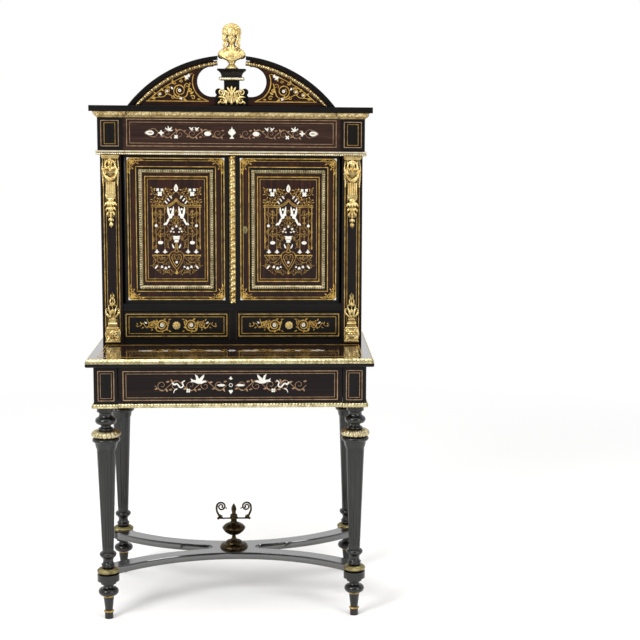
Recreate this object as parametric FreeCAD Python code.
import FreeCAD, Part
import math
import os

from FreeCAD import Vector

# Driving dimensions in millimetres. X is the width, -Y the front, Z up from the floor.

# Writing table
TABLE_HEIGHT = 760.0
TABLE_WIDTH = 804.0
TABLE_DEPTH = 530.0
TOP_THICKNESS = 24.0
TOP_NOSE_RADIUS = 5.0
TOP_OVERHANG = 20.0
TOP_BACK_OVERHANG = 14.0
TOP_SIDE_OVERHANG = 21.0
EDGE_MOULDING_HEIGHT = 14.0
EDGE_MOULDING_WIDTH = 12.0
EDGE_MOULDING_SLOPE = 6.0

# Apron and its corner posts
APRON_HEIGHT = 118.0
POST_SIZE = 66.0
PANEL_RECESS = 6.0
RAIL_THICKNESS = 22.0
BASE_MOULDING_HEIGHT = 12.0
BASE_MOULDING_PROJECTION = 6.5

# Turned legs, from the floor up
LEG_INSET = 29.0
FOOT_TIP_RADIUS = 12.0
FOOT_TIP_HEIGHT = 19.0
FOOT_RING_HEIGHT = 5.0
LOWER_RING_RADIUS = 15.5
UPPER_RING_RADIUS = 17.5
FOOT_LOW_RADIUS = 10.5
FOOT_HIGH_RADIUS = 15.0
FOOT_TAPER_HEIGHT = 40.0
FOOT_TORUS_RADIUS = 28.5
FOOT_TORUS_HEIGHT = 22.0
FOOT_NECK_RADIUS = 14.5
FOOT_NECK_HEIGHT = 12.0
FOOT_STEP_RADIUS = 22.0
FOOT_STEP_HEIGHT = 9.0
FOOT_BLOCK_RADIUS = 31.0
FOOT_BLOCK_HEIGHT = 20.0
ANKLE_COLLAR_RADIUS = 31.5
ANKLE_COLLAR_HEIGHT = 18.0
ANKLE_RING_RADIUS = 18.0
ANKLE_RING_HEIGHT = 10.0
ANKLE_NECK_RADIUS = 14.3
ANKLE_NECK_HEIGHT = 22.0
ANKLE_BEAD_RADIUS = 24.0
ANKLE_BEAD_HEIGHT = 15.0
SHAFT_FILLET_HEIGHT = 6.0
SHAFT_FOOT_RADIUS = 16.3
SHAFT_TOP_RADIUS = 26.8
FLUTE_COUNT = 8
FLUTE_FOOT_RADIUS = 4.6
FLUTE_TOP_RADIUS = 7.6
FLUTE_DEPTH = 3.0
FLUTE_MARGIN = 12.0
CAPITAL_FOOT_RADIUS = 28.7
CAPITAL_TOP_RADIUS = 32.2
CAPITAL_HEIGHT = 17.0
CAPITAL_TORUS_RADIUS = 39.0
CAPITAL_TORUS_HEIGHT = 12.0
KNEE_COLLAR_RADIUS = 40.5
KNEE_COLLAR_HEIGHT = 21.0
KNOB_RING_RADIUS = 21.3
KNOB_RING_HEIGHT = 8.0
KNOB_WAIST_RADIUS = 14.4
KNOB_WAIST_HEIGHT = 10.0
KNOB_BEAD_RADIUS = 29.7
KNOB_BEAD_HEIGHT = 20.0
KNOB_NECK_RADIUS = 18.2
KNOB_NECK_HEIGHT = 16.0
KNOB_COLLAR_RADIUS = 24.5
KNOB_COLLAR_HEIGHT = 14.0
TENON_RADIUS = 9.0
TENON_LENGTH = 40.0
COVE_FLARE = 0.25
FIT_CLEARANCE = 0.1

# Stretcher of two bowed arms that meet in a waist, and the urn on it
STRETCHER_TOP = 142.0
STRETCHER_THICKNESS = 21.0
STRETCHER_WAIST = 124.0
ARM_WIDTH = 46.0
ARM_EDGE_INSET = 2.0
SLOT_END_OFFSET = 64.0
ARM_END_REACH = 13.0
URN_FOOT_RADIUS = 42.0
URN_FOOT_HEIGHT = 28.0
URN_RIM_HEIGHT = 4.0
URN_STEM_RADIUS = 5.5
URN_STEM_HEIGHT = 10.0
URN_BOWL_RADIUS = 34.0
URN_BOWL_HEIGHT = 22.0
URN_SHOULDER_HEIGHT = 20.0
URN_NECK_RADIUS = 8.5
URN_NECK_HEIGHT = 6.0
URN_LID_RADIUS = 13.0
URN_LID_HEIGHT = 14.0
URN_BUD_RADIUS = 8.5
URN_BUD_HEIGHT = 28.0
HANDLE_BAR_LENGTH = 92.0
HANDLE_BAR_SIZE = 4.0
HANDLE_WIRE_RADIUS = 2.4
HANDLE_RISE = 34.0
HANDLE_SCROLL_RADIUS = 15.0
HANDLE_SPREAD = 52.0
HANDLE_KNOB_RADIUS = 4.5

# Cabinet on the table
CABINET_DEPTH = 260.0
PILASTER_WIDTH = 60.0
PILASTER_THICKNESS = 24.0
SIDE_THICKNESS = 20.0
SIDE_RECESS = 4.0
BACK_THICKNESS = 12.0
PLINTH_HEIGHT = 14.0
SMALL_DRAWER_HEIGHT = 84.0
DOOR_RAIL_HEIGHT = 23.0
DOOR_OPENING_HEIGHT = 435.0
RAIL_PROJECTION = 4.0
DIVIDER_WIDTH = 21.0
SHELF_THICKNESS = 14.0
SHELF_HEIGHT = 215.0
SHELF_SETBACK = 24.0
SHELF_GROOVE = 6.0

# Doors
DOOR_THICKNESS = 22.0
DOOR_RECESS = 8.0
DOOR_GAP = 1.0
MEETING_GAP = 1.5
ASTRAGAL_LAP = 0.5
STILE_WIDTH = 47.0
MEETING_STILE_WIDTH = 44.0
DOOR_TOP_RAIL = 40.0
PANEL_THICKNESS = 9.0
PANEL_SET_BACK = 6.0
PANEL_GROOVE = 6.0
DOOR_MOULDING_WIDTH = 12.0
DOOR_MOULDING_HEIGHT = 8.0
ASTRAGAL_WIDTH = 22.0
ASTRAGAL_PROJECTION = 8.0
PIVOT_PIN_RADIUS = 3.0
PIVOT_PIN_LENGTH = 9.0
PIVOT_PLATE_LENGTH = 36.0
PIVOT_PLATE_WIDTH = 13.0
PIVOT_PLATE_THICKNESS = 3.0
PIVOT_PLATE_TAIL = 7.0
RUNNING_CLEARANCE = 0.05
LOCK_WIDTH = 38.0
LOCK_HEIGHT = 56.0
LOCK_THICKNESS = 10.0
KEYHOLE_RADIUS = 2.5
KEYHOLE_OFFSET = 26.0

# Drawers
DRAWER_FRONT_THICKNESS = 20.0
DRAWER_WALL = 9.0
DRAWER_BOTTOM = 5.0
DRAWER_BOTTOM_RISE = 4.0
SMALL_DRAWER_REAR_ROOM = 32.0
APRON_DRAWER_REAR_ROOM = 82.0
DRAWER_BACK_DROP = 16.0
DRAWER_SIDE_CLEARANCE = 1.0
RUNNING_GAP = 0.3
RUNNER_HEIGHT = 12.0
RUNNER_RISE = 14.0
GUIDE_HEIGHT = 18.0
KNOB_ROSETTE_RADIUS = 12.5
KNOB_PROJECTION = 9.0
KNOB_SHANK_RADIUS = 4.0

# Entablature, broken forward over the pilasters
FRIEZE_PROJECTION = 6.0
ARCHITRAVE_HEIGHT = 14.0
FRIEZE_HEIGHT = 111.0
FRIEZE_BLOCK_WIDTH = 71.0
FRIEZE_BLOCK_DEPTH = 40.0
FRIEZE_BREAK = 4.0
FRIEZE_BOARD = 18.0
BEAD_HEIGHT = 13.0
BEAD_PROJECTION = 6.0
OVOLO_HEIGHT = 17.0
OVOLO_PROJECTION = 13.0
CORNICE_THICKNESS = 17.0
CORNICE_OVERHANG = 21.5

# Broken arched pediment
PEDIMENT_SPAN = 600.0
PEDIMENT_RISE = 146.0
PEDIMENT_GAP = 82.0
ARCH_THICKNESS = 11.0
ARCH_DEPTH = 48.0
ARCH_PROJECTION = 10.0
ARCH_FILLET = 5.0
ARCH_STEP = 3.5
PEDIMENT_SETBACK = 23.5
GILT_ARCH_DROP = 15.0
GILT_ARCH_WIDTH = 11.0
GILT_ARCH_PROJECTION = 8.0
TYMPANUM_THICKNESS = 22.0
VOID_RADIUS = 43.0
VOID_SPACING = 114.0
VOID_HEIGHT = 70.0
VOID_NOTCH_WIDTH = 106.0

# Pedestal, its bronzes and the bust
PEDESTAL_WIDTH = 44.0
PEDESTAL_HEIGHT = 74.0
PEDESTAL_FOOT_WIDTH = 96.0
PEDESTAL_FOOT_HEIGHT = 27.0
EAR_RADIUS = 10.0
EAR_SPACING = 76.0
EAR_HEIGHT = 41.0
EAR_THICKNESS = 18.0
RING_WIDTH = 72.0
RING_HEIGHT = 10.0
CAP_NECK_WIDTH = 58.0
CAP_WIDTH = 82.0
CAP_HEIGHT = 23.0
CAP_SLAB_HEIGHT = 5.0
MASK_WIDTH = 82.0
MASK_HEIGHT = 60.0
MASK_DEPTH = 15.0
BUST_HEIGHT = 131.0
BUST_SHOULDER_WIDTH = 81.0
BUST_HEAD_WIDTH = 56.0
BUST_SOCLE_WIDTH = 40.0
BUST_WAIST_WIDTH = 27.0

# Bronze mounts on the pilasters
UPPER_MOUNT_WIDTH = 52.0
UPPER_MOUNT_DROP = 212.0
LOWER_MOUNT_WIDTH = 44.0
LOWER_MOUNT_RISE = 150.0
MOUNT_DEPTH = 16.0
MOUNT_BASE_RISE = 6.0

# Places that follow from the sizes
BACK_Y = TABLE_DEPTH / 2.0
FRONT_Y = -BACK_Y
TOP_UNDERSIDE = TABLE_HEIGHT - TOP_THICKNESS
CASE_HALF = TABLE_WIDTH / 2.0 - TOP_SIDE_OVERHANG
POST_FRONT_Y = FRONT_Y + TOP_OVERHANG
POST_BACK_Y = BACK_Y - TOP_BACK_OVERHANG
POST_INNER_X = CASE_HALF - POST_SIZE
LEG_TOP = TOP_UNDERSIDE - APRON_HEIGHT
LEG_X = CASE_HALF - LEG_INSET
LEG_FRONT_Y = POST_FRONT_Y + LEG_INSET
LEG_BACK_Y = POST_BACK_Y - LEG_INSET
LEG_PLACES = [(-LEG_X, LEG_FRONT_Y), (LEG_X, LEG_FRONT_Y), (-LEG_X, LEG_BACK_Y), (LEG_X, LEG_BACK_Y)]
MIDDLE_Y = (LEG_FRONT_Y + LEG_BACK_Y) / 2.0
BOW_RISE = (LEG_BACK_Y - LEG_FRONT_Y) / 2.0 - ARM_EDGE_INSET - STRETCHER_WAIST / 2.0
BOW_RADIUS = (LEG_X ** 2 + BOW_RISE ** 2) / (2.0 * BOW_RISE)
FOOT_TOP = (
    FOOT_TIP_HEIGHT + 2.0 * FOOT_RING_HEIGHT + FOOT_TAPER_HEIGHT + FOOT_TORUS_HEIGHT
    + FOOT_NECK_HEIGHT + FOOT_STEP_HEIGHT + FOOT_BLOCK_HEIGHT
)
SHAFT_BASE = FOOT_TOP + ANKLE_COLLAR_HEIGHT
KNOB_BASE = LEG_TOP - (
    KNOB_RING_HEIGHT + KNOB_WAIST_HEIGHT + KNOB_BEAD_HEIGHT + KNOB_NECK_HEIGHT + KNOB_COLLAR_HEIGHT
)
SHAFT_TOP = KNOB_BASE - KNEE_COLLAR_HEIGHT
FLUTED_BASE = (
    SHAFT_BASE + ANKLE_RING_HEIGHT + ANKLE_NECK_HEIGHT + ANKLE_BEAD_HEIGHT + SHAFT_FILLET_HEIGHT
)
FLUTED_TOP = SHAFT_TOP - CAPITAL_TORUS_HEIGHT - CAPITAL_HEIGHT

CABINET_FRONT = BACK_Y - CABINET_DEPTH
PLINTH_TOP = TABLE_HEIGHT + PLINTH_HEIGHT
DOOR_RAIL_BASE = PLINTH_TOP + SMALL_DRAWER_HEIGHT
DOOR_RAIL_TOP = DOOR_RAIL_BASE + DOOR_RAIL_HEIGHT
ARCHITRAVE_BASE = DOOR_RAIL_TOP + DOOR_OPENING_HEIGHT
FRIEZE_BASE = ARCHITRAVE_BASE + ARCHITRAVE_HEIGHT
CORNICE_BASE = FRIEZE_BASE + FRIEZE_HEIGHT
CORNICE_TOP = CORNICE_BASE + CORNICE_THICKNESS
OPENING_HALF = CASE_HALF - PILASTER_WIDTH
PILASTER_X = CASE_HALF - PILASTER_WIDTH / 2.0
PILASTER_BACK = CABINET_FRONT + PILASTER_THICKNESS
SIDE_OUTER = CASE_HALF - SIDE_RECESS
SIDE_INNER = SIDE_OUTER - SIDE_THICKNESS
BACK_INNER = BACK_Y - BACK_THICKNESS
DOOR_FRONT = CABINET_FRONT + DOOR_RECESS
DOOR_BACK = DOOR_FRONT + DOOR_THICKNESS
RAIL_FRONT = DOOR_FRONT - RAIL_PROJECTION
DOOR_BASE = DOOR_RAIL_TOP + DOOR_GAP
DOOR_TOP = ARCHITRAVE_BASE - DOOR_GAP
PIVOT_X = OPENING_HALF - DOOR_GAP - DOOR_THICKNESS / 2.0
PIVOT_Y = DOOR_FRONT + DOOR_THICKNESS / 2.0
SHELF_BASE = DOOR_RAIL_TOP + SHELF_HEIGHT
PANEL_FRONT = DOOR_FRONT + PANEL_SET_BACK
KEYHOLE_X = ASTRAGAL_WIDTH / 2.0 + KEYHOLE_OFFSET
KEYHOLE_Z = (DOOR_BASE + DOOR_TOP) / 2.0
FRIEZE_HALF = CASE_HALF + FRIEZE_PROJECTION
FRIEZE_FRONT = CABINET_FRONT - FRIEZE_PROJECTION
ARCH_RADIUS = (PEDIMENT_SPAN ** 2 / 4.0 + PEDIMENT_RISE ** 2) / (2.0 * PEDIMENT_RISE)
ARCH_CENTRE = CORNICE_TOP + PEDIMENT_RISE - ARCH_RADIUS
ARCH_FRONT = FRIEZE_FRONT - CORNICE_OVERHANG + PEDIMENT_SETBACK
TYMPANUM_FRONT = ARCH_FRONT + ARCH_PROJECTION
PEDESTAL_Y = TYMPANUM_FRONT + TYMPANUM_THICKNESS / 2.0
RING_BASE = CORNICE_TOP + PEDESTAL_HEIGHT
CAP_BASE = RING_BASE + RING_HEIGHT
BUST_BASE = CAP_BASE + CAP_HEIGHT
SMALL_DRAWER_LENGTH = BACK_INNER - SMALL_DRAWER_REAR_ROOM - DOOR_FRONT - DRAWER_FRONT_THICKNESS
APRON_BACK_INNER = POST_BACK_Y - PANEL_RECESS - RAIL_THICKNESS
APRON_FRONT_INNER = POST_FRONT_Y + PANEL_RECESS + DRAWER_FRONT_THICKNESS
APRON_DRAWER_LENGTH = APRON_BACK_INNER - APRON_DRAWER_REAR_ROOM - APRON_FRONT_INNER
REACH = 60.0
TOLERANCE = 1e-6


def box(x0, x1, y0, y1, z0, z1):
    return Part.makeBox(x1 - x0, y1 - y0, z1 - z0, Vector(x0, y0, z0))


def rod(radius, x, y, z0, z1):
    return Part.makeCylinder(radius, z1 - z0, Vector(x, y, z0))


def mirrored(shape):
    return shape.mirror(Vector(0, 0, 0), Vector(1, 0, 0))


def pair(shape):
    return [shape, mirrored(shape)]


def at_legs(shape):
    return [shape.translated(Vector(x, y, 0)) for x, y in LEG_PLACES]


def fused(shapes):
    return shapes[0].fuse(shapes[1:]).removeSplitter()


def keep(name, solids):
    shape = solids[0] if len(solids) == 1 else Part.makeCompound(solids)
    shape.exportStep("parts/" + name + ".step")


def outline_face(start, steps, place):
    # A step is a point, or a (middle, end) pair for an arc; the outline closes by itself
    edges = []
    last = place(*start)
    for step in steps + [start]:
        if isinstance(step[0], tuple):
            end = place(*step[1])
            edges.append(Part.Arc(last, place(*step[0]), end).toShape())
        else:
            end = place(*step)
            if last.distanceToPoint(end) > TOLERANCE:
                edges.append(Part.LineSegment(last, end).toShape())
        last = end
    return Part.Face(Part.Wire(edges))


def plan_point(x, y):
    return Vector(x, y, 0)


def front_point(x, z):
    return Vector(x, 0, z)


def prism(points, z0, z1):
    face = outline_face(points[0], points[1:], plan_point)
    return face.extrude(Vector(0, 0, z1 - z0)).translated(Vector(0, 0, z0))


def front_prism(start, steps, y0, y1):
    face = outline_face(start, steps, front_point)
    return face.extrude(Vector(0, y1 - y0, 0)).translated(Vector(0, y0, 0))


def turned(z, elements):
    # Bands, beads, coves and tapers stacked on the axis, each a (kind, radius, height)
    start = (0.0, z)
    steps = []
    for kind, radius, height in elements:
        top = z + height
        middle = z + height / 2.0
        if kind == "band":
            steps += [(radius, z), (radius, top)]
        elif kind == "bead":
            root = radius - height / 2.0
            steps += [(root, z), ((radius, middle), (root, top))]
        elif kind == "cove":
            lip = radius + COVE_FLARE * height
            steps += [(lip, z), ((radius, middle), (lip, top))]
        else:
            steps += [(radius[0], z), (radius[1], top)]
        z = top
    face = outline_face(start, steps + [(0.0, z)], front_point)
    return face.revolve(Vector(0, 0, 0), Vector(0, 0, 1), 360.0)


def end_tool(at, along, outward, mitre, z):
    # Clears what lies past a bar's end, on a plane turned by the mitre
    corners = [(-REACH, 0.0), (REACH, 0.0), (REACH, 3.0 * REACH), (-REACH, 3.0 * REACH)]
    points = [at + outward * u + along * (a + mitre * u) for u, a in corners]
    wire = Part.makePolygon(points + points[:1])
    tool = Part.Face(wire).extrude(Vector(0, 0, 2.0 * REACH))
    return tool.translated(Vector(0, 0, z - REACH))


def mitre_at(before, after):
    return before.x * after.y - before.y * after.x


def moulding(section, path, z, closed=False):
    # Mitred bars along a plan path; the outside is on the right hand of its direction
    corners = [plan_point(*point) for point in path]
    if closed:
        corners.append(corners[0])
    runs = [(b - a).normalize() for a, b in zip(corners, corners[1:])]
    bars = []
    for i, along in enumerate(runs):
        start, end = corners[i], corners[i + 1]
        outward = Vector(along.y, -along.x, 0)
        first = mitre_at(runs[i - 1], along) if i > 0 or closed else 0.0
        last = mitre_at(along, runs[(i + 1) % len(runs)]) if i + 1 < len(runs) or closed else 0.0
        foot = start - along * REACH + Vector(0, 0, z)

        def place(u, v):
            return foot + outward * u + Vector(0, 0, v)

        length = (end - start).Length + 2.0 * REACH
        bar = outline_face(section[0], section[1:], place).extrude(along * length)
        bar = bar.cut(end_tool(end, along, outward, last, z))
        bars.append(bar.cut(end_tool(start, -along, outward, first, z)))
    return bars


def half_round(width, height):
    return [(-width / 2.0, 0.0), ((0.0, height), (width / 2.0, 0.0))]


def relief(elements, x, face_y):
    # Bronze relief on a vertical face: slices of (kind, z0, z1, half0, half1, depth0, depth1)
    slices = []
    for kind, z0, z1, half0, half1, depth0, depth1 in elements:
        if kind == "block":
            slices.append(box(x - half0, x + half0, face_y - depth0, face_y, z0, z1))
            continue
        wires = []
        for z, half, depth in [(z0, half0, depth0), (z1, half1, depth1)]:
            left = Vector(x - half, face_y, z)
            right = Vector(x + half, face_y, z)
            arc = Part.Arc(left, Vector(x, face_y - depth, z), right).toShape()
            wires.append(Part.Wire([arc, Part.LineSegment(right, left).toShape()]))
        slices.append(Part.makeLoft(wires, True, True))
    return slices


def egg(x, y, z, half_width, half_height, lean=0.0):
    # A tall ellipsoid turned about its own axis, leaned sideways in the front plane
    ellipse = Part.Ellipse(Vector(0, 0, half_height), Vector(half_width, 0, 0), Vector(0, 0, 0))
    rim = Part.ArcOfEllipse(ellipse, 0.0, math.pi).toShape()
    axis = Part.LineSegment(Vector(0, 0, -half_height), Vector(0, 0, half_height)).toShape()
    solid = Part.Face(Part.Wire([rim, axis])).revolve(Vector(0, 0, 0), Vector(0, 0, 1), 360.0)
    solid.rotate(Vector(0, 0, 0), Vector(0, 1, 0), lean)
    return solid.translated(Vector(x, y, z))


def leaf(x, y, z, half_width, half_height, lean):
    # An egg that stands on its lower point and leans outward
    turn = math.radians(lean)
    centre_x = x + half_height * math.sin(turn)
    centre_z = z + half_height * math.cos(turn)
    return egg(centre_x, y, centre_z, half_width, half_height, lean)


def ring(x, y, z, radius, wire):
    return Part.makeTorus(radius, wire, Vector(x, y, z), Vector(0, 1, 0))


def cast(pieces, face_y, z0, z1):
    # One bronze, cut off flat at the face that it sits on and at its two ends
    room = box(-TABLE_WIDTH, TABLE_WIDTH, face_y - TABLE_DEPTH, face_y, z0, z1)
    return fused(pieces).common(room).Solids[0]


def leg_foot():
    foot = turned(0.0, [
        ("band", FOOT_TIP_RADIUS, FOOT_TIP_HEIGHT),
        ("band", FOOT_LOW_RADIUS, FOOT_RING_HEIGHT),
        ("taper", (FOOT_LOW_RADIUS, FOOT_HIGH_RADIUS), FOOT_TAPER_HEIGHT),
        ("band", FOOT_HIGH_RADIUS, FOOT_RING_HEIGHT),
        ("bead", FOOT_TORUS_RADIUS, FOOT_TORUS_HEIGHT),
        ("cove", FOOT_NECK_RADIUS, FOOT_NECK_HEIGHT),
        ("band", FOOT_STEP_RADIUS, FOOT_STEP_HEIGHT),
        ("band", FOOT_BLOCK_RADIUS, FOOT_BLOCK_HEIGHT),
    ])
    return foot.cut(rod(TENON_RADIUS + FIT_CLEARANCE, 0, 0, FOOT_TOP - TENON_LENGTH, FOOT_TOP))


def foot_rings():
    rings = []
    upper_base = FOOT_TIP_HEIGHT + FOOT_RING_HEIGHT + FOOT_TAPER_HEIGHT
    for base, outer, inner in [
        (FOOT_TIP_HEIGHT, LOWER_RING_RADIUS, FOOT_LOW_RADIUS),
        (upper_base, UPPER_RING_RADIUS, FOOT_HIGH_RADIUS),
    ]:
        ring = turned(base, [("bead", outer, FOOT_RING_HEIGHT)])
        bore = rod(inner + FIT_CLEARANCE, 0, 0, base, base + FOOT_RING_HEIGHT)
        rings.append(ring.cut(bore))
    return rings


def collar(base, radius, height):
    ring = turned(base, [("bead", radius, height)])
    return ring.cut(rod(TENON_RADIUS + FIT_CLEARANCE, 0, 0, base, base + height))


def flutes():
    # Tapering round-ended channels that follow the shaft's taper
    slope = (SHAFT_TOP_RADIUS - SHAFT_FOOT_RADIUS) / (FLUTED_TOP - FLUTED_BASE)
    low = FLUTED_BASE + FLUTE_MARGIN
    high = FLUTED_TOP - FLUTE_MARGIN
    foot_x = SHAFT_FOOT_RADIUS + slope * FLUTE_MARGIN + FLUTE_FOOT_RADIUS - FLUTE_DEPTH
    head_x = SHAFT_TOP_RADIUS - slope * FLUTE_MARGIN + FLUTE_TOP_RADIUS - FLUTE_DEPTH
    foot = Vector(foot_x, 0, low)
    head = Vector(head_x, 0, high)
    channel = [
        Part.makeCone(FLUTE_FOOT_RADIUS, FLUTE_TOP_RADIUS, (head - foot).Length, foot, head - foot),
        Part.makeSphere(FLUTE_FOOT_RADIUS, foot),
        Part.makeSphere(FLUTE_TOP_RADIUS, head),
    ]
    tools = []
    for i in range(FLUTE_COUNT):
        angle = 360.0 * i / FLUTE_COUNT - 90.0
        tools += [tool.rotated(Vector(0, 0, 0), Vector(0, 0, 1), angle) for tool in channel]
    return tools


def leg_shaft():
    shaft = turned(SHAFT_BASE, [
        ("bead", ANKLE_RING_RADIUS, ANKLE_RING_HEIGHT),
        ("cove", ANKLE_NECK_RADIUS, ANKLE_NECK_HEIGHT),
        ("bead", ANKLE_BEAD_RADIUS, ANKLE_BEAD_HEIGHT),
        ("band", SHAFT_FOOT_RADIUS, SHAFT_FILLET_HEIGHT),
        ("taper", (SHAFT_FOOT_RADIUS, SHAFT_TOP_RADIUS), FLUTED_TOP - FLUTED_BASE),
        ("taper", (CAPITAL_FOOT_RADIUS, CAPITAL_TOP_RADIUS), CAPITAL_HEIGHT),
        ("bead", CAPITAL_TORUS_RADIUS, CAPITAL_TORUS_HEIGHT),
    ])
    shaft = shaft.cut(flutes())
    tenons = [
        rod(TENON_RADIUS, 0, 0, FOOT_TOP - TENON_LENGTH, SHAFT_BASE),
        rod(TENON_RADIUS, 0, 0, SHAFT_TOP, KNOB_BASE + TENON_LENGTH),
    ]
    return fused([shaft] + tenons)


def leg_knob():
    knob = turned(KNOB_BASE, [
        ("bead", KNOB_RING_RADIUS, KNOB_RING_HEIGHT),
        ("cove", KNOB_WAIST_RADIUS, KNOB_WAIST_HEIGHT),
        ("bead", KNOB_BEAD_RADIUS, KNOB_BEAD_HEIGHT),
        ("cove", KNOB_NECK_RADIUS, KNOB_NECK_HEIGHT),
        ("band", KNOB_COLLAR_RADIUS, KNOB_COLLAR_HEIGHT),
    ])
    socket = rod(TENON_RADIUS + FIT_CLEARANCE, 0, 0, KNOB_BASE, KNOB_BASE + TENON_LENGTH)
    return fused([knob.cut(socket), rod(TENON_RADIUS, 0, 0, LEG_TOP, LEG_TOP + TENON_LENGTH)])


def stretcher():
    # Two bows back to back: every edge is an arc about one of two centres on the middle line
    bow_centre = STRETCHER_WAIST / 2.0 + BOW_RADIUS
    outer = BOW_RADIUS + ARM_WIDTH
    slot = (SLOT_END_OFFSET ** 2 + bow_centre ** 2 - outer ** 2) / (2.0 * (outer - SLOT_END_OFFSET))
    slot_x = SLOT_END_OFFSET + slot
    touch_x = slot_x * outer / (outer + slot)
    end_x = LEG_X + ARM_END_REACH

    def edge(radius, x):
        return (x, bow_centre - math.sqrt(radius ** 2 - x ** 2))

    def flipped(point):
        return (point[0], -point[1])

    def left(point):
        return (-point[0], point[1])

    end_out, waist_out = edge(BOW_RADIUS, end_x), edge(BOW_RADIUS, 0.0)
    end_in, touch = edge(outer, end_x), edge(outer, touch_x)
    middle_in = edge(outer, (end_x + touch_x) / 2.0)
    nose = (SLOT_END_OFFSET, 0.0)
    right_side = [
        (waist_out, end_out), end_in, (middle_in, touch), (nose, flipped(touch)),
        (flipped(middle_in), flipped(end_in)), flipped(end_out),
    ]
    left_side = [
        (flipped(waist_out), left(flipped(end_out))), left(flipped(end_in)),
        (left(flipped(middle_in)), left(flipped(touch))), (left(nose), left(touch)),
        (left(middle_in), left(end_in)),
    ]
    face = outline_face(left(end_out), right_side + left_side, plan_point)
    plate = face.extrude(Vector(0, 0, STRETCHER_THICKNESS))
    plate = plate.translated(Vector(0, MIDDLE_Y, STRETCHER_TOP - STRETCHER_THICKNESS))
    seat = max(FOOT_BLOCK_RADIUS, ANKLE_COLLAR_RADIUS) + FIT_CLEARANCE
    return plate.cut([rod(seat, x, y, 0, STRETCHER_TOP) for x, y in LEG_PLACES])


def urn():
    foot = STRETCHER_TOP + URN_RIM_HEIGHT
    dome = STRETCHER_TOP + URN_FOOT_HEIGHT
    bowl = dome + URN_STEM_HEIGHT
    belly = bowl + URN_BOWL_HEIGHT
    neck = belly + URN_SHOULDER_HEIGHT
    bar = neck + URN_NECK_HEIGHT
    lid = bar + HANDLE_BAR_SIZE
    bud = lid + URN_LID_HEIGHT
    tip = bud + URN_BUD_HEIGHT
    steps = [
        (URN_FOOT_RADIUS, STRETCHER_TOP),
        (URN_FOOT_RADIUS, foot),
        ((0.62 * URN_FOOT_RADIUS, (foot + dome) / 2.0), (1.4 * URN_STEM_RADIUS, dome)),
        ((URN_STEM_RADIUS, (dome + bowl) / 2.0), (1.4 * URN_STEM_RADIUS, bowl)),
        ((0.75 * URN_BOWL_RADIUS, bowl + 0.42 * URN_BOWL_HEIGHT), (URN_BOWL_RADIUS, belly)),
        ((0.66 * URN_BOWL_RADIUS, belly + 0.55 * URN_SHOULDER_HEIGHT), (URN_NECK_RADIUS, neck)),
        (URN_NECK_RADIUS, bar),
        (URN_LID_RADIUS, bar),
        (URN_LID_RADIUS, lid),
        ((0.75 * URN_LID_RADIUS, (lid + bud) / 2.0), (0.4 * URN_BUD_RADIUS, bud)),
        ((URN_BUD_RADIUS, bud + 0.4 * URN_BUD_HEIGHT), (0.15 * URN_BUD_RADIUS, tip)),
        (0.0, tip),
    ]
    body = outline_face((0.0, STRETCHER_TOP), steps, front_point)
    body = body.revolve(Vector(0, 0, 0), Vector(0, 0, 1), 360.0)
    half_bar = HANDLE_BAR_LENGTH / 2.0
    half_size = HANDLE_BAR_SIZE / 2.0
    rail = box(-half_bar, half_bar, -half_size, half_size, bar, lid)
    handle = urn_handle(lid)
    knob = Part.makeSphere(HANDLE_KNOB_RADIUS, Vector(-half_bar, 0, bar + half_size))
    return fused([body, rail] + pair(handle) + pair(knob)).translated(Vector(0, MIDDLE_Y, 0))


def urn_handle(base):
    # A wire scroll that rises from the bar's end and winds inward in shrinking half circles
    foot_x = HANDLE_BAR_LENGTH / 2.0 - HANDLE_BAR_SIZE
    eye_z = base + HANDLE_RISE
    lean = HANDLE_SPREAD - foot_x
    sweep = (lean ** 2 + HANDLE_RISE ** 2) / (2.0 * lean)
    half_turn = math.asin(HANDLE_RISE / sweep) / 2.0
    centre_x = HANDLE_SPREAD - sweep
    rise_middle = (centre_x + sweep * math.cos(half_turn), eye_z - sweep * math.sin(half_turn))
    start = (foot_x, base)
    last = (HANDLE_SPREAD, eye_z)
    edges = [Part.Arc(front_point(*start), front_point(*rise_middle), front_point(*last)).toShape()]
    side = -1.0
    radius = HANDLE_SCROLL_RADIUS
    while radius > 2.0 * HANDLE_WIRE_RADIUS:
        end = (last[0] + 2.0 * side * radius, eye_z)
        middle = (last[0] + side * radius, eye_z - side * radius)
        edges.append(Part.Arc(front_point(*last), front_point(*middle), front_point(*end)).toShape())
        last = end
        side = -side
        radius = 0.7 * radius
    path = Part.Wire(edges)
    tangent = path.Edges[0].tangentAt(path.Edges[0].FirstParameter)
    ring = Part.Wire(Part.makeCircle(HANDLE_WIRE_RADIUS, front_point(*start), tangent))
    return path.makePipeShell([ring], True, False)


def corner_posts():
    posts = []
    for x, y in LEG_PLACES:
        x0 = -CASE_HALF if x < 0 else POST_INNER_X
        y0 = POST_FRONT_Y if y < MIDDLE_Y else POST_BACK_Y - POST_SIZE
        post = box(x0, x0 + POST_SIZE, y0, y0 + POST_SIZE, LEG_TOP, TOP_UNDERSIDE)
        posts.append(post.cut(rod(TENON_RADIUS + FIT_CLEARANCE, x, y, LEG_TOP, LEG_TOP + TENON_LENGTH)))
    return posts


def apron_side_rail():
    outer = CASE_HALF - PANEL_RECESS
    y0 = POST_FRONT_Y + POST_SIZE
    y1 = POST_BACK_Y - POST_SIZE
    return box(-outer, RAIL_THICKNESS - outer, y0, y1, LEG_TOP, TOP_UNDERSIDE)


def apron_back_rail():
    y0 = APRON_BACK_INNER
    return box(-POST_INNER_X, POST_INNER_X, y0, y0 + RAIL_THICKNESS, LEG_TOP, TOP_UNDERSIDE)


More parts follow.
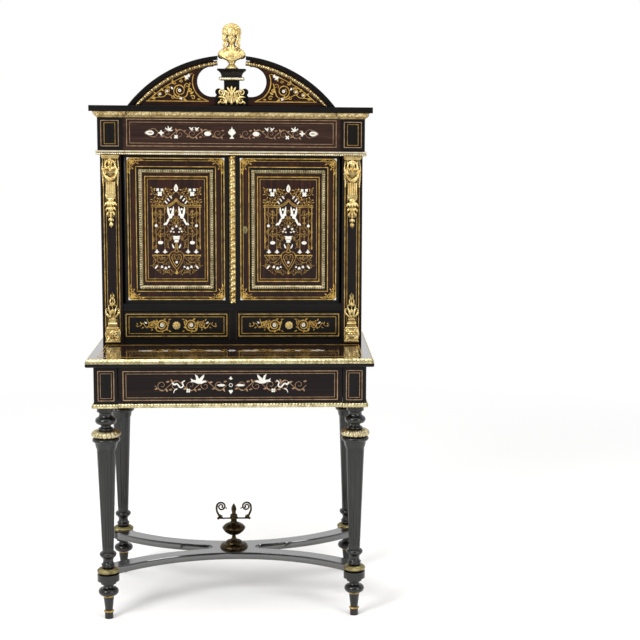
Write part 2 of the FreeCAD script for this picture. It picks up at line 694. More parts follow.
def drawer_runners():
    # A runner under the drawer's side and a guide beside it, both on the side rail
    rail_x = PANEL_RECESS + RAIL_THICKNESS - CASE_HALF
    side_x = -POST_INNER_X + DRAWER_SIDE_CLEARANCE
    y0 = POST_FRONT_Y + POST_SIZE
    y1 = POST_BACK_Y - POST_SIZE
    z0 = LEG_TOP + RUNNER_RISE
    z1 = z0 + RUNNER_HEIGHT
    runner = box(rail_x, side_x + 2.0 * DRAWER_WALL, y0, y1, z0, z1)
    guide = box(rail_x, side_x - RUNNING_GAP, y0, y1, z1, z1 + GUIDE_HEIGHT)
    return pair(runner) + pair(guide)


def table_top():
    half = TABLE_WIDTH / 2.0
    rebate = TABLE_HEIGHT - EDGE_MOULDING_HEIGHT
    inner = half - EDGE_MOULDING_WIDTH
    lower = box(-half, half, FRONT_Y, BACK_Y, TOP_UNDERSIDE, rebate)
    nosed = [
        edge for edge in lower.Edges
        if abs(edge.CenterOfMass.z - TOP_UNDERSIDE) < TOLERANCE and edge.CenterOfMass.y < BACK_Y - TOLERANCE
    ]
    lower = lower.makeFillet(min(TOP_NOSE_RADIUS, 0.9 * (rebate - TOP_UNDERSIDE)), nosed)
    upper = box(-inner, inner, FRONT_Y + EDGE_MOULDING_WIDTH, BACK_Y, rebate, TABLE_HEIGHT)
    return fused([lower, upper])


def table_edge_moulding():
    half = TABLE_WIDTH / 2.0
    top = EDGE_MOULDING_HEIGHT
    bulge = (-0.37 * EDGE_MOULDING_SLOPE, 0.635 * top)
    section = [(-EDGE_MOULDING_WIDTH, 0.0), (0.0, 0.0), (bulge, (-EDGE_MOULDING_SLOPE, top)),
               (-EDGE_MOULDING_WIDTH, top)]
    path = [(-half, BACK_Y), (-half, FRONT_Y), (half, FRONT_Y), (half, BACK_Y)]
    return moulding(section, path, TABLE_HEIGHT - top)


def base_section():
    p = BASE_MOULDING_PROJECTION
    h = BASE_MOULDING_HEIGHT
    return [(0.0, 0.0), (0.6 * p, 0.0), ((p, 0.5 * h), (0.5 * p, h)), (0.0, h)]


def apron_base_moulding():
    side = CASE_HALF - PANEL_RECESS
    front_back = POST_FRONT_Y + POST_SIZE
    back_front = POST_BACK_Y - POST_SIZE
    corner = [(-CASE_HALF, front_back), (-CASE_HALF, POST_FRONT_Y), (-POST_INNER_X, POST_FRONT_Y)]
    rail = [(-side, back_front), (-side, front_back)]
    back = [(-CASE_HALF, POST_BACK_Y), (-CASE_HALF, back_front)]
    bars = []
    for path in (corner, rail, back):
        for bar in moulding(base_section(), path, LEG_TOP):
            bars += pair(bar)
    return bars


def cabinet_side():
    side = box(-SIDE_OUTER, -SIDE_INNER, PILASTER_BACK, BACK_Y, TABLE_HEIGHT, ARCHITRAVE_BASE)
    groove_y = DOOR_BACK + SHELF_SETBACK
    groove = box(-SIDE_INNER - SHELF_GROOVE, -SIDE_INNER, groove_y, BACK_INNER,
                 SHELF_BASE, SHELF_BASE + SHELF_THICKNESS)
    return side.cut(groove)


def cabinet_back():
    return box(-SIDE_INNER, SIDE_INNER, BACK_INNER, BACK_Y, TABLE_HEIGHT, ARCHITRAVE_BASE)


def carcass_board(front, z0, z1):
    # Full between the sides, with a narrower tongue between the pilasters
    body = box(-SIDE_INNER, SIDE_INNER, PILASTER_BACK, BACK_INNER, z0, z1)
    return fused([body, box(-OPENING_HALF, OPENING_HALF, front, PILASTER_BACK, z0, z1)])


def drawer_guides():
    # The divider between the small drawers, and a guide outside each of them
    half = DIVIDER_WIDTH / 2.0
    divider = box(-half, half, DOOR_FRONT, BACK_INNER, PLINTH_TOP, DOOR_RAIL_BASE)
    guide = box(-SIDE_INNER, -OPENING_HALF, PILASTER_BACK, BACK_INNER, PLINTH_TOP, PLINTH_TOP + GUIDE_HEIGHT)
    return [divider] + pair(guide)


def cupboard_shelf():
    reach = SIDE_INNER + SHELF_GROOVE
    return box(-reach, reach, DOOR_BACK + SHELF_SETBACK, BACK_INNER, SHELF_BASE, SHELF_BASE + SHELF_THICKNESS)


def pilaster():
    return box(-CASE_HALF, -OPENING_HALF, CABINET_FRONT, PILASTER_BACK, TABLE_HEIGHT, ARCHITRAVE_BASE)


def mount_head(x, y, z, half_width, half_height):
    # A plain face with a nose, framed by a roll of hair
    face = egg(x, y, z, half_width, half_height)
    nose = egg(x, y - half_width, z - 0.1 * half_height, 0.17 * half_width, 0.25 * half_height)
    hair = ring(x, y, z + 0.2 * half_height, 1.2 * half_width, 0.4 * half_width)
    return [face, nose, hair]


def upper_mount():
    # A herm: abacus, head, swag, ribbed sheath, rings, and a drop of husks
    half = UPPER_MOUNT_WIDTH / 2.0
    drop = UPPER_MOUNT_DROP
    d = MOUNT_DEPTH
    top = ARCHITRAVE_BASE
    x = -PILASTER_X
    y = CABINET_FRONT
    levels = [top - drop * share for share in (0.03, 0.05, 0.26, 0.37, 0.54, 0.6, 0.64)]
    z1, z2, z3, z4, z5, z6, z7 = levels
    pieces = relief([
        ("block", z1, top, half, half, 0.9 * d, 0.9 * d),
        ("block", z2, z1, 0.92 * half, 0.92 * half, 0.75 * d, 0.75 * d),
        ("block", z3, z2, 0.64 * half, 0.64 * half, 0.35 * d, 0.35 * d),
        ("block", z4, z3, 0.86 * half, 0.86 * half, 0.2 * d, 0.2 * d),
        ("block", z5, z4, 0.56 * half, 0.56 * half, 0.5 * d, 0.5 * d),
        ("round", z6, z5, 0.6 * half, 0.64 * half, 0.85 * d, 0.85 * d),
        ("round", z7, z6, 0.3 * half, 0.5 * half, 0.45 * d, 0.65 * d),
    ], x, y)
    pieces += mount_head(x, y - 0.25 * d, top - 0.14 * drop, 0.42 * half, 0.075 * drop)
    swag_z = top - 0.2 * drop
    swag = ring(x, y - 0.35 * d, swag_z, 0.8 * half, 0.18 * half)
    pieces.append(swag.common(box(x - half, x + half, y - 2.0 * d, y, swag_z - drop, swag_z)))
    for side in (-1.0, 1.0):
        pieces.append(egg(x + 0.86 * side * half, y - 0.2 * d, top - 0.32 * drop, 0.12 * half, 0.09 * drop))
    for rib in (-0.4, -0.2, 0.0, 0.2, 0.4):
        pieces.append(rod(0.085 * half, x + rib * half, y - 0.5 * d, z5, z4))
    husks = [(0.7, 0.42, 0.09), (0.81, 0.3, 0.075), (0.9, 0.2, 0.06), (0.957, 0.12, 0.043)]
    for place, width, height in husks:
        pieces.append(egg(x, y - 0.15 * d, top - place * drop, width * half, height * drop))
    for lean in (156.0, 204.0):
        pieces.append(leaf(x, y - 0.2 * d, z7 + 0.02 * drop, 0.2 * half, 0.09 * drop, lean))
        pieces.append(leaf(x, y - 0.2 * d, top - 0.75 * drop, 0.14 * half, 0.055 * drop, lean))
    return cast(pieces, y, top - drop, top)


def lower_mount():
    # A stepped plinth with a rosette, and a calyx of leaves with a bud rising from it
    half = LOWER_MOUNT_WIDTH / 2.0
    rise = LOWER_MOUNT_RISE
    d = MOUNT_DEPTH
    base = TABLE_HEIGHT + MOUNT_BASE_RISE
    x = -PILASTER_X
    y = CABINET_FRONT
    levels = [base + rise * share for share in (0, 0.04, 0.3, 0.33, 0.41, 0.47)]
    z0, z1, z2, z3, z4, z5 = levels
    pieces = relief([
        ("block", z0, z1, half, half, 0.7 * d, 0.7 * d),
        ("block", z1, z2, 0.8 * half, 0.8 * half, 0.45 * d, 0.45 * d),
        ("block", z2, z3, 0.86 * half, 0.86 * half, 0.55 * d, 0.55 * d),
        ("round", z3, z4, 0.6 * half, 0.5 * half, 0.7 * d, 0.6 * d),
        ("round", z4, z5, 0.42 * half, 0.46 * half, 0.5 * d, 0.55 * d),
    ], x, y)
    die = (z1 + z2) / 2.0
    pieces.append(ring(x, y - 0.45 * d, die, 0.42 * half, 0.11 * half))
    pieces.append(Part.makeSphere(0.24 * half, Vector(x, y - 0.45 * d, die)))
    for lean in (-46.0, -20.0, 20.0, 46.0):
        pieces.append(leaf(x, y - 0.25 * d, z5 - 0.02 * rise, 0.2 * half, 0.12 * rise, lean))
    pieces.append(egg(x, y - 0.25 * d, base + 0.6 * rise, 0.34 * half, 0.15 * rise))
    pieces.append(egg(x, y - 0.2 * d, base + 0.8 * rise, 0.24 * half, 0.12 * rise))
    pieces.append(egg(x, y - 0.12 * d, base + 0.91 * rise, 0.13 * half, 0.09 * rise))
    return cast(pieces, y, base, base + rise)


def entablature_path(offset):
    # Plan line of the entablature, broken forward over the pilasters, open at the back
    x_out = FRIEZE_HALF + offset
    x_side = x_out - FRIEZE_BREAK
    x_in = FRIEZE_HALF - FRIEZE_BLOCK_WIDTH - offset
    y_front = FRIEZE_FRONT - offset
    y_centre = y_front + FRIEZE_BREAK
    y_block = FRIEZE_FRONT + FRIEZE_BLOCK_DEPTH + offset
    left = [(-x_side, BACK_Y), (-x_side, y_block), (-x_out, y_block), (-x_out, y_front),
            (-x_in, y_front), (-x_in, y_centre)]
    return left + [(-x, y) for x, y in reversed(left)]


def frieze_end():
    x_in = FRIEZE_HALF - FRIEZE_BLOCK_WIDTH
    y_block = FRIEZE_FRONT + FRIEZE_BLOCK_DEPTH
    x_side = FRIEZE_HALF - FRIEZE_BREAK
    block = box(-FRIEZE_HALF, -x_in, FRIEZE_FRONT, y_block, FRIEZE_BASE, CORNICE_BASE)
    board = box(-x_side, FRIEZE_BOARD - x_side, y_block, BACK_Y, FRIEZE_BASE, CORNICE_BASE)
    return fused([block, board])


def frieze_boards():
    x_in = FRIEZE_HALF - FRIEZE_BLOCK_WIDTH
    x_back = FRIEZE_HALF - FRIEZE_BREAK - FRIEZE_BOARD
    y0 = FRIEZE_FRONT + FRIEZE_BREAK
    front = box(-x_in, x_in, y0, y0 + FRIEZE_BOARD, FRIEZE_BASE, CORNICE_BASE)
    back = box(-x_back, x_back, BACK_INNER, BACK_Y, FRIEZE_BASE, CORNICE_BASE)
    return [front, back]


def bead_moulding():
    p = BEAD_PROJECTION
    h = BEAD_HEIGHT
    section = [(0.0, 0.0), (0.4 * p, 0.0), ((p, 0.5 * h), (0.4 * p, h)), (0.0, h)]
    return moulding(section, entablature_path(0.0), ARCHITRAVE_BASE)


def cornice_moulding():
    p = OVOLO_PROJECTION
    h = OVOLO_HEIGHT
    section = [(0.0, 0.0), (0.2 * p, 0.0), (0.2 * p, 0.12 * h), ((0.78 * p, 0.46 * h), (p, h)), (0.0, h)]
    return moulding(section, entablature_path(0.0), CORNICE_BASE - h)


def arch_point(radius, x):
    return (x, ARCH_CENTRE + math.sqrt(radius ** 2 - x ** 2))


def arch_foot(radius):
    return (-math.sqrt(radius ** 2 - (CORNICE_TOP - ARCH_CENTRE) ** 2), CORNICE_TOP)


def arch_band(outer, inner, y0, y1):
    # A strip of the left arch, from the cornice to the gap, between two radii
    end = -PEDIMENT_GAP / 2.0
    outer_foot, inner_foot = arch_foot(outer), arch_foot(inner)
    outer_middle = arch_point(outer, (outer_foot[0] + end) / 2.0)
    inner_middle = arch_point(inner, (inner_foot[0] + end) / 2.0)
    steps = [(outer_middle, arch_point(outer, end)), arch_point(inner, end), (inner_middle, inner_foot)]
    return front_prism(outer_foot, steps, y0, y1)


def pediment_arch():
    # A thin fillet above a band that is set back from it
    back = ARCH_FRONT + ARCH_DEPTH
    middle = ARCH_RADIUS - ARCH_FILLET
    fillet = arch_band(ARCH_RADIUS, middle, ARCH_FRONT, back)
    band = arch_band(middle, ARCH_RADIUS - ARCH_THICKNESS, ARCH_FRONT + ARCH_STEP, back)
    return fused([fillet, band])


def pediment_gilt_moulding():
    # A half-round section turned about the arch's centre, trimmed at the cornice and the gap
    centre = ARCH_RADIUS - GILT_ARCH_DROP - GILT_ARCH_WIDTH / 2.0

    def place(u, v):
        return Vector(0, TYMPANUM_FRONT - v, ARCH_CENTRE + centre + u)

    section = half_round(GILT_ARCH_WIDTH, GILT_ARCH_PROJECTION)
    face = outline_face(section[0], section[1:], place)
    ring = face.revolve(Vector(0, 0, ARCH_CENTRE), Vector(0, 1, 0), -90.0)
    reach = ARCH_RADIUS
    trim = box(-reach, -PEDIMENT_GAP / 2.0, TYMPANUM_FRONT - reach, TYMPANUM_FRONT + reach,
               CORNICE_TOP, CORNICE_TOP + reach)
    return ring.common(trim)


def tympanum():
    radius = ARCH_RADIUS - ARCH_THICKNESS
    y0 = TYMPANUM_FRONT
    y1 = y0 + TYMPANUM_THICKNESS
    top = CORNICE_TOP + PEDIMENT_RISE
    void_z = CORNICE_TOP + VOID_HEIGHT
    void_x = VOID_SPACING / 2.0
    gap = VOID_NOTCH_WIDTH / 2.0
    foot = PEDESTAL_FOOT_WIDTH / 2.0
    disc = Part.makeCylinder(radius, y1 - y0, Vector(0, y0, ARCH_CENTRE), Vector(0, 1, 0))
    board = disc.common(box(-radius, radius, y0, y1, CORNICE_TOP, top))
    hole = Part.makeCylinder(VOID_RADIUS, y1 - y0, Vector(-void_x, y0, void_z), Vector(0, 1, 0))
    cuts = pair(hole)
    cuts.append(box(-void_x, void_x, y0, y1, void_z - VOID_RADIUS, void_z))
    cuts.append(box(-gap, gap, y0, y1, void_z, top))
    cuts.append(box(-foot, foot, y0, y1, CORNICE_TOP, void_z))
    return board.cut(cuts).Solids


def pedestal():
    # Foot with a scroll ear each side, square shaft, and a cap that flares in a cavetto
    half = PEDESTAL_WIDTH / 2.0
    foot = PEDESTAL_FOOT_WIDTH / 2.0
    ear_x = EAR_SPACING / 2.0
    ear_z = CORNICE_TOP + EAR_HEIGHT
    foot_z = CORNICE_TOP + PEDESTAL_FOOT_HEIGHT
    ear_y = PEDESTAL_Y - EAR_THICKNESS / 2.0
    shaft = box(-half, half, PEDESTAL_Y - half, PEDESTAL_Y + half, CORNICE_TOP, RING_BASE)
    console = front_prism((-foot, CORNICE_TOP), [
        (foot, CORNICE_TOP), (foot, foot_z), (ear_x, ear_z), (-ear_x, ear_z), (-foot, foot_z),
    ], ear_y, ear_y + EAR_THICKNESS)
    ear = Part.makeCylinder(EAR_RADIUS, EAR_THICKNESS, Vector(-ear_x, ear_y, ear_z), Vector(0, 1, 0))
    return fused([shaft, console] + pair(ear))


def pedestal_ring():
    # A square bronze ring with a rounded edge, between the shaft and the cap
    half = RING_WIDTH / 2.0
    h = RING_HEIGHT
    plate = box(-half + h / 2.0, half - h / 2.0, -half + h / 2.0, half - h / 2.0, RING_BASE, CAP_BASE)
    section = [(0.0, 0.0), ((h / 2.0, h / 2.0), (0.0, h))]
    edge = half - h / 2.0
    path = [(-edge, -edge), (edge, -edge), (edge, edge), (-edge, edge)]
    ring = fused([plate] + moulding(section, path, RING_BASE, True))
    return ring.translated(Vector(0, PEDESTAL_Y, 0))


def pedestal_cap():
    neck = CAP_NECK_WIDTH / 2.0
    half = CAP_WIDTH / 2.0
    flare = half - neck
    cove = CAP_HEIGHT - CAP_SLAB_HEIGHT
    plate = box(-neck, neck, -neck, neck, CAP_BASE, BUST_BASE)
    hollow = (0.3 * flare, 0.62 * cove)
    section = [(0.0, 0.0), (hollow, (flare, cove)), (flare, CAP_HEIGHT), (0.0, CAP_HEIGHT)]
    path = [(-neck, -neck), (neck, -neck), (neck, neck), (-neck, neck)]
    cap = fused([plate] + moulding(section, path, CAP_BASE, True))
    return cap.translated(Vector(0, PEDESTAL_Y, 0))


def pedestal_mask():
    # A small head in a cartouche of four scrolls, with a leaf at its top and its foot
    half = MASK_WIDTH / 2.0
    h = MASK_HEIGHT
    d = MASK_DEPTH
    base = CORNICE_TOP
    y = PEDESTAL_Y - PEDESTAL_WIDTH / 2.0
    levels = [base + h * share for share in (0.06, 0.2, 0.5, 0.8, 0.94)]
    z0, z1, z2, z3, z4 = levels
    pieces = relief([
        ("round", z0, z1, 0.2 * half, 0.55 * half, 0.2 * d, 0.35 * d),
        ("round", z1, z2, 0.55 * half, 0.66 * half, 0.35 * d, 0.4 * d),
        ("round", z2, z3, 0.66 * half, 0.55 * half, 0.4 * d, 0.35 * d),
        ("round", z3, z4, 0.55 * half, 0.2 * half, 0.35 * d, 0.2 * d),
    ], 0.0, y)
    pieces += mount_head(0.0, y - 0.3 * d, base + 0.53 * h, 0.2 * half, 0.22 * h)
    for side in (-1.0, 1.0):
        for share in (0.3, 0.7):
            pieces.append(ring(0.72 * side * half, y - 0.2 * d, base + share * h, 0.19 * half, 0.08 * half))
        pieces.append(egg(0.93 * side * half, y - 0.2 * d, base + 0.5 * h, 0.06 * half, 0.3 * h))
    for share in (0.14, 0.86):
        pieces.append(egg(0.0, y - 0.25 * d, base + share * h, 0.13 * half, 0.13 * h))
    return cast(pieces, y, base, base + h)


def oval(z, half_x, half_y, y):
    centre = Vector(0, y, z)
    if abs(half_x - half_y) < TOLERANCE:
        return Part.Wire(Part.makeCircle(half_x, centre))
    if half_x > half_y:
        ellipse = Part.Ellipse(centre + Vector(half_x, 0, 0), centre + Vector(0, half_y, 0), centre)
    else:
        ellipse = Part.Ellipse(centre + Vector(0, half_y, 0), centre - Vector(half_x, 0, 0), centre)
    return Part.Wire(ellipse.toShape())


def bust():
    # Socle, draped shoulders, neck and dressed head: lofts up the axis with the head's forms on them
    socle = BUST_SOCLE_WIDTH / 2.0
    waist = BUST_WAIST_WIDTH / 2.0
    shoulder = BUST_SHOULDER_WIDTH / 2.0
    head = BUST_HEAD_WIDTH / 2.0
    h = BUST_HEIGHT
    foot = [(0.0, socle, socle), (0.04, socle, socle), (0.06, 0.8 * socle, 0.8 * socle),
            (0.15, waist, waist), (0.21, 1.2 * waist, 1.15 * waist)]
    torso = [(0.21, 1.2 * waist, 1.15 * waist), (0.27, 0.82 * shoulder, 0.38 * shoulder),
             (0.335, shoulder, 0.4 * shoulder), (0.4, 0.9 * shoulder, 0.36 * shoulder),
             (0.45, 0.5 * shoulder, 0.3 * shoulder), (0.5, 0.36 * head, 0.38 * head)]
    crown = [(0.5, 0.36 * head, 0.38 * head), (0.57, 0.4 * head, 0.44 * head),
             (0.65, 0.62 * head, 0.6 * head), (0.78, 0.8 * head, 0.76 * head),
             (0.9, 0.74 * head, 0.7 * head), (0.97, 0.44 * head, 0.44 * head),
             (1.0, 0.16 * head, 0.16 * head)]
    pieces = []
    for rings in (foot, torso, crown):
        wires = [oval(BUST_BASE + share * h, half_x, half_y, PEDESTAL_Y) for share, half_x, half_y in rings]
        pieces.append(Part.makeLoft(wires, True, True))
    return fused(pieces + bust_head(head) + bust_dress(shoulder)).Solids[0]


def bust_head(head):
    # Face, nose and chin, a wreath of hair round them, and locks that hang to the shoulders
    h = BUST_HEIGHT
    face_y = PEDESTAL_Y - 0.26 * head
    face_z = BUST_BASE + 0.72 * h
    face = egg(0.0, face_y, face_z, 0.46 * head, 0.165 * h)
    nose = egg(0.0, face_y - 0.46 * head, face_z - 0.01 * h, 0.07 * head, 0.045 * h)
    chin = Part.makeSphere(0.17 * head, Vector(0, face_y - 0.2 * head, face_z - 0.13 * h))
    wreath = ring(0.0, PEDESTAL_Y - 0.2 * head, face_z + 0.05 * h, 0.73 * head, 0.25 * head)
    pieces = [face, nose, chin, wreath]
    for side in (-1.0, 1.0):
        for across, forward in ((0.66, 0.3), (0.8, 0.05)):
            lock = Vector(across * side * head, PEDESTAL_Y - forward * head, BUST_BASE + 0.5 * h)
            pieces.append(egg(*lock, 0.15 * head, 0.14 * h))
    return pieces


def bust_dress(shoulder):
    # The neckline's hanging fold and the two clasps that hold it
    h = BUST_HEIGHT
    fold_z = BUST_BASE + 0.42 * h
    fold_y = PEDESTAL_Y - 0.32 * shoulder
    fold = ring(0.0, fold_y, fold_z, 0.5 * shoulder, 0.08 * shoulder)
    low = fold_z - 0.1 * shoulder
    lower = box(-shoulder, shoulder, fold_y - shoulder, PEDESTAL_Y, fold_z - shoulder, low)
    pieces = [fold.common(lower)]
    for side in (-1.0, 1.0):
        clasp = Vector(0.55 * side * shoulder, PEDESTAL_Y - 0.36 * shoulder, BUST_BASE + 0.33 * h)
        pieces.append(Part.makeSphere(0.12 * shoulder, clasp))
    return pieces


def door_pivot_pair(door):
    # Plate and pin in the carcass, or plate and socket in the door, at the foot and the head
    x0 = -PIVOT_X - PIVOT_PLATE_TAIL
    x1 = x0 + PIVOT_PLATE_LENGTH
    y0 = PIVOT_Y - PIVOT_PLATE_WIDTH / 2.0
    y1 = PIVOT_Y + PIVOT_PLATE_WIDTH / 2.0
    t = PIVOT_PLATE_THICKNESS
    plates = []
    if door:
        for z in (DOOR_BASE, DOOR_TOP - t):
            plate = box(x0, x1, y0, y1, z, z + t)
            plates.append(plate.cut(rod(PIVOT_PIN_RADIUS + RUNNING_CLEARANCE, -PIVOT_X, PIVOT_Y, z, z + t)))
        return plates
    foot = box(x0, x1, y0, y1, DOOR_RAIL_TOP - t, DOOR_RAIL_TOP)
    head = box(x0, x1, y0, y1, ARCHITRAVE_BASE, ARCHITRAVE_BASE + t)
    low_pin = rod(PIVOT_PIN_RADIUS, -PIVOT_X, PIVOT_Y, DOOR_RAIL_TOP, DOOR_RAIL_TOP + PIVOT_PIN_LENGTH)
    high_pin = rod(PIVOT_PIN_RADIUS, -PIVOT_X, PIVOT_Y, ARCHITRAVE_BASE - PIVOT_PIN_LENGTH, ARCHITRAVE_BASE)
    return [fused([foot, low_pin]), fused([head, high_pin])]


def door_stops(right):
    # X of the door's meeting edge and of that stile's inner edge, drawn on the left-door side
    half = ASTRAGAL_WIDTH / 2.0
    meeting = half - ASTRAGAL_LAP if right else ASTRAGAL_LAP - half - MEETING_GAP
    return meeting, -half - MEETING_STILE_WIDTH


def door_frame(right):
    # Built as a left door; the right one is mirrored later
    meeting, meeting_inner = door_stops(right)
    hinge_inner = -OPENING_HALF + DOOR_GAP + STILE_WIDTH
    low = DOOR_BASE + DOOR_TOP_RAIL
    high = DOOR_TOP - DOOR_TOP_RAIL
    hinge_stile = fused([
        box(-PIVOT_X, hinge_inner, DOOR_FRONT, DOOR_BACK, DOOR_BASE, DOOR_TOP),
        rod(DOOR_THICKNESS / 2.0, -PIVOT_X, PIVOT_Y, DOOR_BASE, DOOR_TOP),
    ])
    socket = PIVOT_PIN_LENGTH + DOOR_GAP
    bore = PIVOT_PIN_RADIUS + 5.0 * RUNNING_CLEARANCE
    cuts = door_pivot_pockets()
    cuts.append(rod(bore, -PIVOT_X, PIVOT_Y, DOOR_BASE, DOOR_BASE + socket))
    cuts.append(rod(bore, -PIVOT_X, PIVOT_Y, DOOR_TOP - socket, DOOR_TOP))
    hinge_stile = hinge_stile.cut(cuts)
    meeting_stile = box(meeting_inner, meeting, DOOR_FRONT, DOOR_BACK, DOOR_BASE, DOOR_TOP)
    foot_rail = box(hinge_inner, meeting_inner, DOOR_FRONT, DOOR_BACK, DOOR_BASE, low)
    head_rail = box(hinge_inner, meeting_inner, DOOR_FRONT, DOOR_BACK, high, DOOR_TOP)
    if right:
        keyhole = Part.makeCylinder(KEYHOLE_RADIUS, DOOR_THICKNESS, Vector(-KEYHOLE_X, DOOR_FRONT, KEYHOLE_Z),
                                    Vector(0, 1, 0))
        meeting_stile = meeting_stile.cut(keyhole)
    panel = door_panel(right)
    return [piece.cut(panel) for piece in (hinge_stile, meeting_stile, foot_rail, head_rail)]


def door_pivot_pockets():
    x0 = -PIVOT_X - PIVOT_PLATE_TAIL
    y0 = PIVOT_Y - PIVOT_PLATE_WIDTH / 2.0
    y1 = PIVOT_Y + PIVOT_PLATE_WIDTH / 2.0
    t = PIVOT_PLATE_THICKNESS
    return [box(x0, x0 + PIVOT_PLATE_LENGTH, y0, y1, z, z + t) for z in (DOOR_BASE, DOOR_TOP - t)]


def door_field(right):
    meeting_inner = door_stops(right)[1]
    hinge_inner = -OPENING_HALF + DOOR_GAP + STILE_WIDTH
    return hinge_inner, meeting_inner, DOOR_BASE + DOOR_TOP_RAIL, DOOR_TOP - DOOR_TOP_RAIL


def door_panel(right):
    x0, x1, z0, z1 = door_field(right)
    g = PANEL_GROOVE
    return box(x0 - g, x1 + g, PANEL_FRONT, PANEL_FRONT + PANEL_THICKNESS, z0 - g, z1 + g)


def door_moulding(right):
    x0, x1, z0, z1 = door_field(right)
    w = DOOR_MOULDING_WIDTH
    h = DOOR_MOULDING_HEIGHT
    section = [(-w, 0.0), (0.0, 0.0), (0.0, 0.6 * h), ((-0.45 * w, h), (-w, 0.25 * h))]
    bars = moulding(section, [(x0, z0), (x1, z0), (x1, z1), (x0, z1)], 0.0, True)
    upright = [bar.rotated(Vector(0, 0, 0), Vector(1, 0, 0), 90.0) for bar in bars]
    return [bar.translated(Vector(0, PANEL_FRONT, 0)) for bar in upright]


def astragal():
    half = ASTRAGAL_WIDTH / 2.0
    face = outline_face((-half, DOOR_FRONT), [((0.0, DOOR_FRONT - ASTRAGAL_PROJECTION), (half, DOOR_FRONT))],
                        plan_point)
    return face.extrude(Vector(0, 0, DOOR_TOP - DOOR_BASE)).translated(Vector(0, 0, DOOR_BASE))


def door_lock():
    half = LOCK_WIDTH / 2.0
    case = box(KEYHOLE_X - half, KEYHOLE_X + half, DOOR_BACK, DOOR_BACK + LOCK_THICKNESS,
               KEYHOLE_Z - LOCK_HEIGHT / 2.0, KEYHOLE_Z + LOCK_HEIGHT / 2.0)
    hole = Part.makeCylinder(KEYHOLE_RADIUS, LOCK_THICKNESS, Vector(KEYHOLE_X, DOOR_BACK, KEYHOLE_Z),
                             Vector(0, 1, 0))
    return case.cut(hole)


def drawer_box(x0, x1, y0, y1, z0, z1):
    # Two sides, a lower back and a bottom panel held between them
    w = DRAWER_WALL
    floor = z0 + DRAWER_BOTTOM_RISE
    return [
        box(x0, x0 + w, y0, y1, z0, z1),
        box(x1 - w, x1, y0, y1, z0, z1),
        box(x0 + w, x1 - w, y1 - w, y1, z0, z1 - DRAWER_BACK_DROP),
        box(x0 + w, x1 - w, y0, y1 - w, floor, floor + DRAWER_BOTTOM),
    ]


def small_drawer():
    # The left one: front with its knob hole, box and knob
    x0 = -OPENING_HALF + DRAWER_SIDE_CLEARANCE
    x1 = -DIVIDER_WIDTH / 2.0 - DRAWER_SIDE_CLEARANCE
    y1 = DOOR_FRONT + DRAWER_FRONT_THICKNESS
    z0 = PLINTH_TOP + RUNNING_GAP
    z1 = DOOR_RAIL_BASE - DRAWER_SIDE_CLEARANCE
    knob_x = (x0 + x1) / 2.0
    knob_z = (z0 + z1) / 2.0
    front = box(x0, x1, DOOR_FRONT, y1, z0, z1)
    hole = Part.makeCylinder(KNOB_SHANK_RADIUS + FIT_CLEARANCE, DRAWER_FRONT_THICKNESS,
                             Vector(knob_x, DOOR_FRONT, knob_z), Vector(0, 1, 0))
    chest = drawer_box(x0, x1, y1, y1 + SMALL_DRAWER_LENGTH, z0, z1 - DRAWER_BACK_DROP)
    return front.cut(hole), chest, drawer_knob(knob_x, knob_z)


def drawer_knob(x, z):
    # A low domed rosette on a shank through the drawer front
    r = KNOB_ROSETTE_RADIUS
    p = KNOB_PROJECTION
    rise = [(0.0, -DRAWER_FRONT_THICKNESS), (KNOB_SHANK_RADIUS, -DRAWER_FRONT_THICKNESS),
            (KNOB_SHANK_RADIUS, 0.0), (r, 0.0), (r, 0.25 * p), ((0.7 * r, 0.72 * p), (0.1 * r, p)), (0.0, p)]
    face = outline_face(rise[0], rise[1:], front_point)
    knob = face.revolve(Vector(0, 0, 0), Vector(0, 0, 1), 360.0)
    knob = knob.rotated(Vector(0, 0, 0), Vector(1, 0, 0), 90.0)
    return knob.translated(Vector(x, DOOR_FRONT, z))


def apron_drawer():
    x1 = POST_INNER_X - DRAWER_SIDE_CLEARANCE
    y0 = POST_FRONT_Y + PANEL_RECESS
    y1 = y0 + DRAWER_FRONT_THICKNESS
    z1 = TOP_UNDERSIDE - DRAWER_SIDE_CLEARANCE
    front = box(-x1, x1, y0, y1, LEG_TOP, z1)
    floor = LEG_TOP + RUNNER_RISE + RUNNER_HEIGHT + RUNNING_GAP
    chest = drawer_box(-x1, x1, y1, y1 + APRON_DRAWER_LENGTH, floor, z1 - DRAWER_BACK_DROP)
    strip = moulding(base_section(), [(-x1, y0), (x1, y0)], LEG_TOP)
    return front, chest, strip


def mirrored_all(solids):
    return [mirrored(solid) for solid in solids]


os.makedirs("parts", exist_ok=True)

keep("leg_feet", at_legs(leg_foot()))
keep("foot_rings", [ring for one in foot_rings() for ring in at_legs(one)])
keep("ankle_collars", at_legs(collar(FOOT_TOP, ANKLE_COLLAR_RADIUS, ANKLE_COLLAR_HEIGHT)))
keep("leg_shafts", at_legs(leg_shaft()))
keep("knee_collars", at_legs(collar(SHAFT_TOP, KNEE_COLLAR_RADIUS, KNEE_COLLAR_HEIGHT)))
keep("leg_knobs", at_legs(leg_knob()))
keep("stretcher", [stretcher()])
keep("stretcher_urn", [urn()])
keep("corner_posts", corner_posts())
keep("apron_side_rails", pair(apron_side_rail()))
keep("apron_back_rail", [apron_back_rail()])
keep("drawer_runners", drawer_runners())
keep("table_top", [table_top()])
keep("table_edge_moulding", table_edge_moulding())
keep("apron_base_moulding", apron_base_moulding())

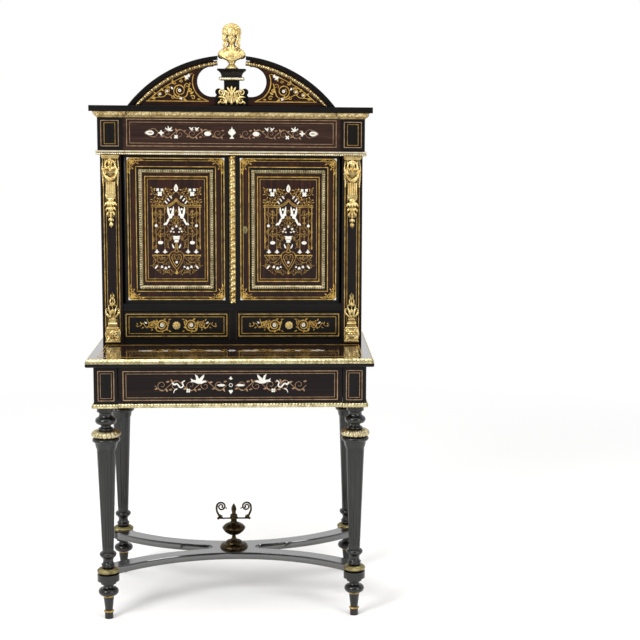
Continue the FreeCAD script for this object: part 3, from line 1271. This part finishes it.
front, chest, strip = apron_drawer()
keep("apron_drawer_front", [front])
keep("apron_drawer_box", chest)
keep("apron_drawer_moulding", strip)

pivots = door_pivot_pair(False)
pivots += mirrored_all(pivots)
floor_board = carcass_board(RAIL_FRONT, DOOR_RAIL_BASE, DOOR_RAIL_TOP)
architrave = prism(entablature_path(0.0), ARCHITRAVE_BASE, FRIEZE_BASE)
keep("cabinet_sides", pair(cabinet_side()))
keep("cabinet_back", [cabinet_back()])
keep("cabinet_floor", [carcass_board(RAIL_FRONT, TABLE_HEIGHT, PLINTH_TOP)])
keep("drawer_guides", drawer_guides())
keep("cupboard_floor", [floor_board.cut(pivots)])
keep("cupboard_shelf", [cupboard_shelf()])
keep("architrave_board", [architrave.cut(pivots)])
keep("pilaster_left", [pilaster()])
keep("pilaster_right", [mirrored(pilaster())])
keep("pilaster_upper_mounts", pair(upper_mount()))
keep("pilaster_lower_mounts", pair(lower_mount()))
keep("door_pivots", pivots)

for side in ("left", "right"):
    right = side == "right"
    turn = mirrored_all if right else list
    keep(side + "_door_frame", turn(door_frame(right)))
    keep(side + "_door_panel", turn([door_panel(right)]))
    keep(side + "_door_moulding", turn(door_moulding(right)))
    keep(side + "_door_sockets", turn(door_pivot_pair(True)))
    front, chest, knob = small_drawer()
    keep(side + "_drawer_front", turn([front]))
    keep(side + "_drawer_box", turn(chest))
    keep(side + "_drawer_knob", turn([knob]))
keep("door_astragal", [astragal()])
keep("door_lock", [door_lock()])

keep("frieze_boards", frieze_boards())
keep("frieze_ends", pair(frieze_end()))
keep("bead_moulding", bead_moulding())
keep("cornice_moulding", cornice_moulding())
keep("cornice_slab", [prism(entablature_path(CORNICE_OVERHANG), CORNICE_BASE, CORNICE_TOP)])
keep("tympanum", tympanum())
keep("pediment_arches", pair(pediment_arch()))
keep("pediment_gilt_mouldings", pair(pediment_gilt_moulding()))
keep("pedestal", [pedestal()])
keep("pedestal_ring", [pedestal_ring()])
keep("pedestal_cap", [pedestal_cap()])
keep("pedestal_mask", [pedestal_mask()])
keep("bust", [bust()])
